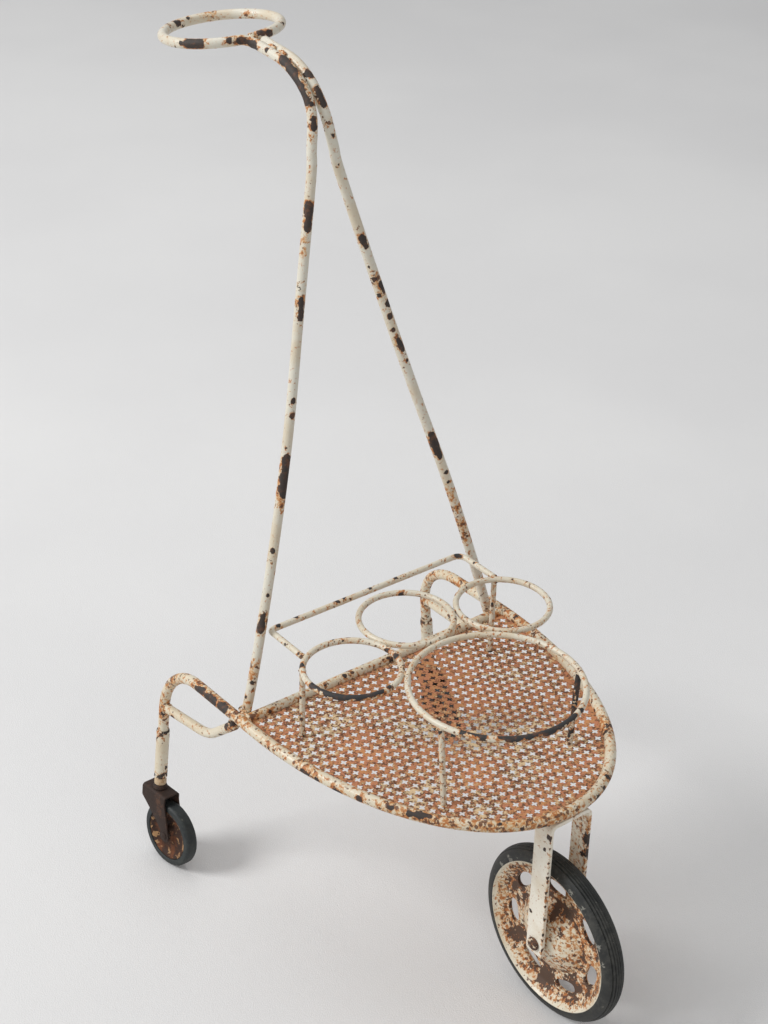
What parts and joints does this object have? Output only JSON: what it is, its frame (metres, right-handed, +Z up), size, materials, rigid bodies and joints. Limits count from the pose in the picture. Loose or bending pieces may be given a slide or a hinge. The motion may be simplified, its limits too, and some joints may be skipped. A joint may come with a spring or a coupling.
{
  "type": "plant trolley",
  "caption": "Plant trolley of bent steel tube: round-nosed tray under a rack of pot rings, uprights that meet in a ring handle, a front wheel in a fixed fork and swivel casters at the rear.",
  "frame": {"origin": "middle of the footprint, on the floor", "axes": "+Z up, -Y towards the nose and the front wheel, +Y towards the handle, and the side named left is at -X"},
  "size_m": [0.3996, 0.7059, 0.856],
  "materials": {
    "cream_paint": "old cream paint, chipped to rust",
    "rusty_sheet": "rusted sheet with remains of cream paint",
    "rusty_steel": "bare dark steel with dry rust",
    "worn_steel": "dull steel with rust",
    "ochre_collar": "ochre, matt",
    "black_rubber": "old black rubber, scuffed grey",
    "grey_rubber": "old dark grey-green rubber"
  },
  "bodies": {
    "trolley_frame": {"tray_rim": "cream_paint", "tray_sheet": "rusty_sheet", "rear_crossbar": "cream_paint", "left_brace": "cream_paint", "right_brace": "cream_paint", "left_upright": "cream_paint", "right_upright": "cream_paint", "handle_ring": "cream_paint", "big_ring": "cream_paint", "middle_ring": "cream_paint", "left_ring": "cream_paint", "right_ring": "cream_paint", "rack_rail": "cream_paint", "post_rear_left": "cream_paint", "post_rear_right": "cream_paint", "post_front_left": "cream_paint", "post_front_right": "cream_paint", "front_fork": "cream_paint", "front_axle_bolt": "worn_steel", "front_axle_nut": "worn_steel", "left_sleeve": "cream_paint", "right_sleeve": "cream_paint"},
    "front_wheel": {"front_disc_left": "cream_paint", "front_disc_right": "cream_paint", "front_bush": "worn_steel", "front_tyre": "black_rubber"},
    "left_caster": {"left_caster_fork": "rusty_steel", "left_caster_race": "rusty_steel", "left_caster_collar": "ochre_collar", "left_caster_pin": "rusty_steel", "left_caster_axle": "rusty_steel"},
    "left_caster_wheel": {"left_caster_disc": "rusty_steel", "left_caster_tyre": "grey_rubber", "left_caster_bush": "rusty_steel"},
    "right_caster": {"right_caster_fork": "rusty_steel", "right_caster_race": "rusty_steel", "right_caster_collar": "ochre_collar", "right_caster_pin": "rusty_steel", "right_caster_axle": "rusty_steel"},
    "right_caster_wheel": {"right_caster_disc": "rusty_steel", "right_caster_tyre": "grey_rubber", "right_caster_bush": "rusty_steel"}
  },
  "joints": [
    {"name": "front_wheel_spin", "type": "hinge", "parent": "trolley_frame", "child": "front_wheel", "pos_m": [0, -0.26096, 0.092], "axis": [1, 0, 0], "continuous": true},
    {"name": "left_caster_swivel", "type": "hinge", "parent": "trolley_frame", "child": "left_caster", "pos_m": [-0.19, 0.16334, 0.03694], "axis": [0.0998, 0, 0.995], "continuous": true},
    {"name": "left_caster_roll", "type": "hinge", "parent": "left_caster", "child": "left_caster_wheel", "pos_m": [-0.1873, 0.1408, 0.03667], "axis": [0.9878, 0.1197, -0.0991], "continuous": true},
    {"name": "right_caster_swivel", "type": "hinge", "parent": "trolley_frame", "child": "right_caster", "pos_m": [0.19, 0.16334, 0.03694], "axis": [-0.0998, 0, 0.995], "continuous": true},
    {"name": "right_caster_roll", "type": "hinge", "parent": "right_caster", "child": "right_caster_wheel", "pos_m": [0.1873, 0.1408, 0.03667], "axis": [0.9878, -0.1197, 0.0991], "continuous": true}
  ]
}
